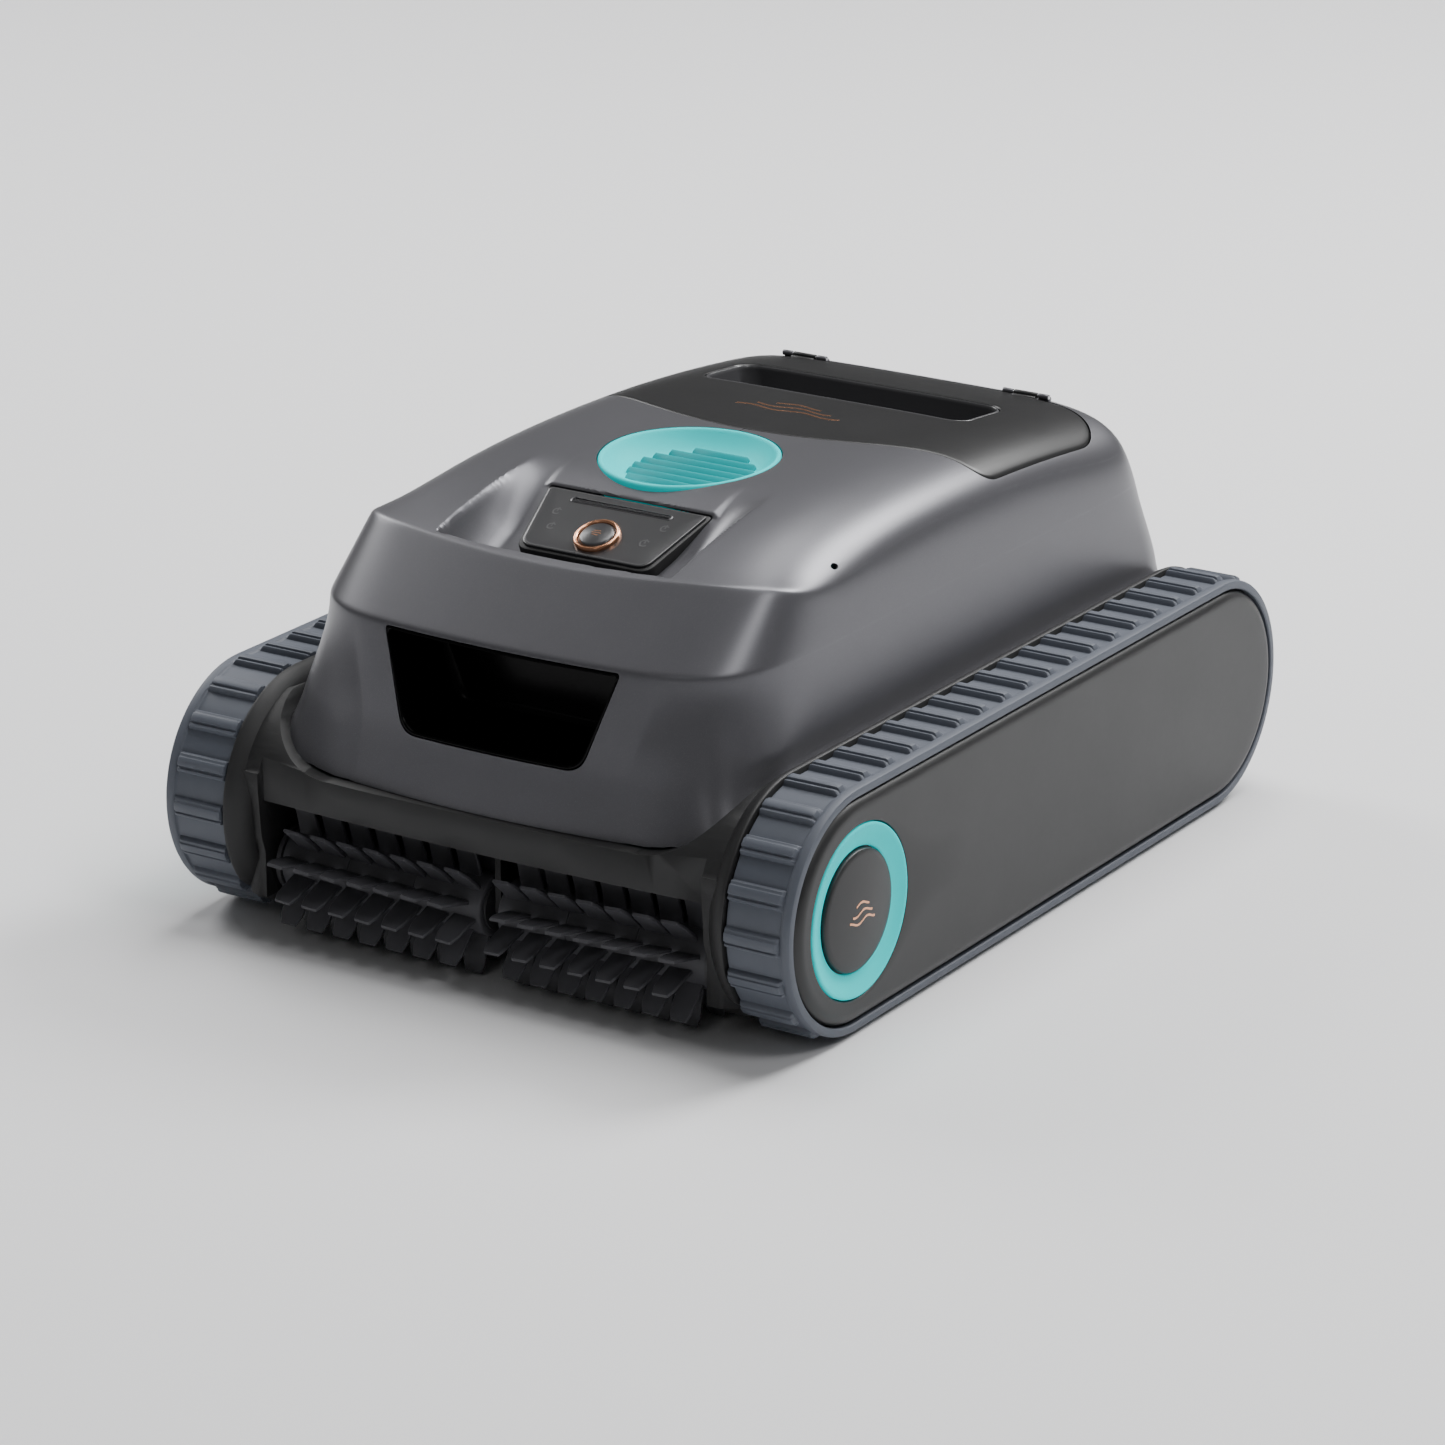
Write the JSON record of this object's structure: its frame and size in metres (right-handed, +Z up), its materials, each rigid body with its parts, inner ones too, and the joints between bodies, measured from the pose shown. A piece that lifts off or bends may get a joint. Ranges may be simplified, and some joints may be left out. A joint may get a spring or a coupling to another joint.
{
  "type": "robotic pool cleaner",
  "caption": "Cordless tracked pool cleaner with ribbed side tracks, split front roller brush, top vent, sloping control panel, hinged rear lid with a grip slot and a filter basket inside.",
  "frame": {"origin": "middle of the footprint, on the floor under the tracks", "axes": "+Z up, the front with the brush faces -Y, the right-hand track is at +X"},
  "size_m": [0.3616, 0.48, 0.219],
  "materials": {
    "shell_grey": "satin metallic grey",
    "chassis_black": "fine matte",
    "cover_black": "satin",
    "piano_black": "gloss",
    "turquoise": "satin",
    "copper": "polished",
    "tread_rubber": "matte",
    "brush_rubber": "matte",
    "seal_rubber": "matte",
    "wheel_plastic": "fine matte",
    "steel": "brushed",
    "motor_can": "satin",
    "gear_white": "satin",
    "cell_wrap": "gloss",
    "board_green": "satin",
    "mesh_fabric": "fine mesh",
    "basket_grey": "satin",
    "light_lens": "frosted",
    "bush_plastic": "satin"
  },
  "bodies": {
    "chassis": {"lower_chassis": "chassis_black", "belly_screws": "steel", "brush_bracket": "chassis_black", "intake_throat": "chassis_black", "dry_box": "chassis_black", "dry_box_gasket": "seal_rubber", "dry_box_cover": "chassis_black", "battery_cells": "cell_wrap", "main_board": "board_green", "pump_motor": "motor_can", "pump_duct": "chassis_black", "basket_frame": "basket_grey", "basket_mesh": "mesh_fabric", "charge_socket": "chassis_black", "top_shell": "shell_grey", "grip_liner": "piano_black", "vent_grille": "turquoise", "control_pod": "chassis_black", "control_panel": "piano_black", "light_bar": "light_lens", "button_ring": "copper", "button_spring": "steel", "lid_hinge_pins": "steel", "right_track_belt": "tread_rubber", "right_side_cover": "cover_black", "right_hub_ring": "turquoise", "right_hub_cap": "cover_black", "right_axles": "steel", "right_drive_motor": "motor_can", "right_brush_bush": "bush_plastic", "left_track_belt": "tread_rubber", "left_side_cover": "cover_black", "left_hub_ring": "turquoise", "left_hub_cap": "cover_black", "left_axles": "steel", "left_drive_motor": "motor_can", "left_brush_bush": "bush_plastic"},
    "lid": {"lid": "cover_black", "handle_cup": "cover_black", "lid_seal": "seal_rubber"},
    "propeller": {"propeller": "gear_white"},
    "power_button": {"power_button": "piano_black"},
    "intake_flap": {"intake_flap": "seal_rubber"},
    "charge_cap": {"charge_cap": "seal_rubber"},
    "right_drive_wheel": {"right_drive_wheel": "wheel_plastic"},
    "right_front_wheel": {"right_front_wheel": "wheel_plastic"},
    "right_front_roller": {"right_front_roller": "wheel_plastic"},
    "right_rear_roller": {"right_rear_roller": "wheel_plastic"},
    "right_motor_pinion": {"right_motor_pinion": "gear_white"},
    "right_brush": {"right_brush_core": "wheel_plastic", "right_brush_sleeve": "brush_rubber", "right_brush_pinion": "gear_white"},
    "left_drive_wheel": {"left_drive_wheel": "wheel_plastic"},
    "left_front_wheel": {"left_front_wheel": "wheel_plastic"},
    "left_front_roller": {"left_front_roller": "wheel_plastic"},
    "left_rear_roller": {"left_rear_roller": "wheel_plastic"},
    "left_motor_pinion": {"left_motor_pinion": "gear_white"},
    "left_brush": {"left_brush_core": "wheel_plastic", "left_brush_sleeve": "brush_rubber", "left_brush_pinion": "gear_white"}
  },
  "joints": [
    {"name": "lid_hinge", "type": "hinge", "parent": "chassis", "child": "lid", "pos_m": [0, 0.1676, 0.20752], "axis": [-1, 0, 0], "range_deg": [0, 95]},
    {"name": "propeller_spin", "type": "hinge", "parent": "chassis", "child": "propeller", "pos_m": [0, -0.046, 0.172], "axis": [0, 0, 1], "continuous": true},
    {"name": "power_button_press", "type": "slide", "parent": "chassis", "child": "power_button", "axis": [0, 0.3825, -0.924], "range_m": [0, 0.0015], "stiffness_N_per_m": 800, "springref_m": -0.0006, "deforming": ["button_spring"]},
    {"name": "intake_flap_hinge", "type": "hinge", "parent": "chassis", "child": "intake_flap", "pos_m": [0, 0.053, 0.0725], "axis": [1, 0, 0], "range_deg": [0, 70]},
    {"name": "charge_cap_hinge", "type": "hinge", "parent": "chassis", "child": "charge_cap", "pos_m": [0.07, 0.2302, 0.0815], "axis": [1, 0, 0], "range_deg": [0, 100]},
    {"name": "right_drive_wheel_spin", "type": "hinge", "parent": "chassis", "child": "right_drive_wheel", "pos_m": [0.158, 0.178, 0.062], "axis": [1, 0, 0], "continuous": true},
    {"name": "right_front_wheel_spin", "type": "hinge", "parent": "chassis", "child": "right_front_wheel", "pos_m": [0.158, -0.178, 0.062], "axis": [1, 0, 0], "continuous": true},
    {"name": "right_front_roller_spin", "type": "hinge", "parent": "chassis", "child": "right_front_roller", "pos_m": [0.158, -0.06, 0.0269], "axis": [1, 0, 0], "continuous": true},
    {"name": "right_rear_roller_spin", "type": "hinge", "parent": "chassis", "child": "right_rear_roller", "pos_m": [0.158, 0.06, 0.0269], "axis": [1, 0, 0], "continuous": true},
    {"name": "right_motor_pinion_spin", "type": "hinge", "parent": "chassis", "child": "right_motor_pinion", "pos_m": [0.158, 0.14345, 0.04589], "axis": [1, 0, 0], "continuous": true},
    {"name": "right_brush_spin", "type": "hinge", "parent": "chassis", "child": "right_brush", "pos_m": [0.158, -0.20496, 0.03504], "axis": [1, 0, 0], "continuous": true},
    {"name": "left_drive_wheel_spin", "type": "hinge", "parent": "chassis", "child": "left_drive_wheel", "pos_m": [-0.158, 0.178, 0.062], "axis": [1, 0, 0], "continuous": true},
    {"name": "left_front_wheel_spin", "type": "hinge", "parent": "chassis", "child": "left_front_wheel", "pos_m": [-0.158, -0.178, 0.062], "axis": [1, 0, 0], "continuous": true},
    {"name": "left_front_roller_spin", "type": "hinge", "parent": "chassis", "child": "left_front_roller", "pos_m": [-0.158, -0.06, 0.0269], "axis": [1, 0, 0], "continuous": true},
    {"name": "left_rear_roller_spin", "type": "hinge", "parent": "chassis", "child": "left_rear_roller", "pos_m": [-0.158, 0.06, 0.0269], "axis": [1, 0, 0], "continuous": true},
    {"name": "left_motor_pinion_spin", "type": "hinge", "parent": "chassis", "child": "left_motor_pinion", "pos_m": [-0.158, 0.14345, 0.04589], "axis": [1, 0, 0], "continuous": true},
    {"name": "left_brush_spin", "type": "hinge", "parent": "chassis", "child": "left_brush", "pos_m": [-0.158, -0.20496, 0.03504], "axis": [1, 0, 0], "continuous": true}
  ],
  "couplings": [
    {"joint": "right_front_wheel_spin", "follows": "right_drive_wheel_spin", "ratio": 1},
    {"joint": "right_front_roller_spin", "follows": "right_drive_wheel_spin", "ratio": 2.755},
    {"joint": "right_rear_roller_spin", "follows": "right_drive_wheel_spin", "ratio": 2.755},
    {"joint": "right_motor_pinion_spin", "follows": "right_drive_wheel_spin", "ratio": 5.6923},
    {"joint": "right_brush_spin", "follows": "right_drive_wheel_spin", "ratio": 5.6923},
    {"joint": "left_front_wheel_spin", "follows": "left_drive_wheel_spin", "ratio": 1},
    {"joint": "left_front_roller_spin", "follows": "left_drive_wheel_spin", "ratio": 2.755},
    {"joint": "left_rear_roller_spin", "follows": "left_drive_wheel_spin", "ratio": 2.755},
    {"joint": "left_motor_pinion_spin", "follows": "left_drive_wheel_spin", "ratio": 5.6923},
    {"joint": "left_brush_spin", "follows": "left_drive_wheel_spin", "ratio": 5.6923}
  ]
}
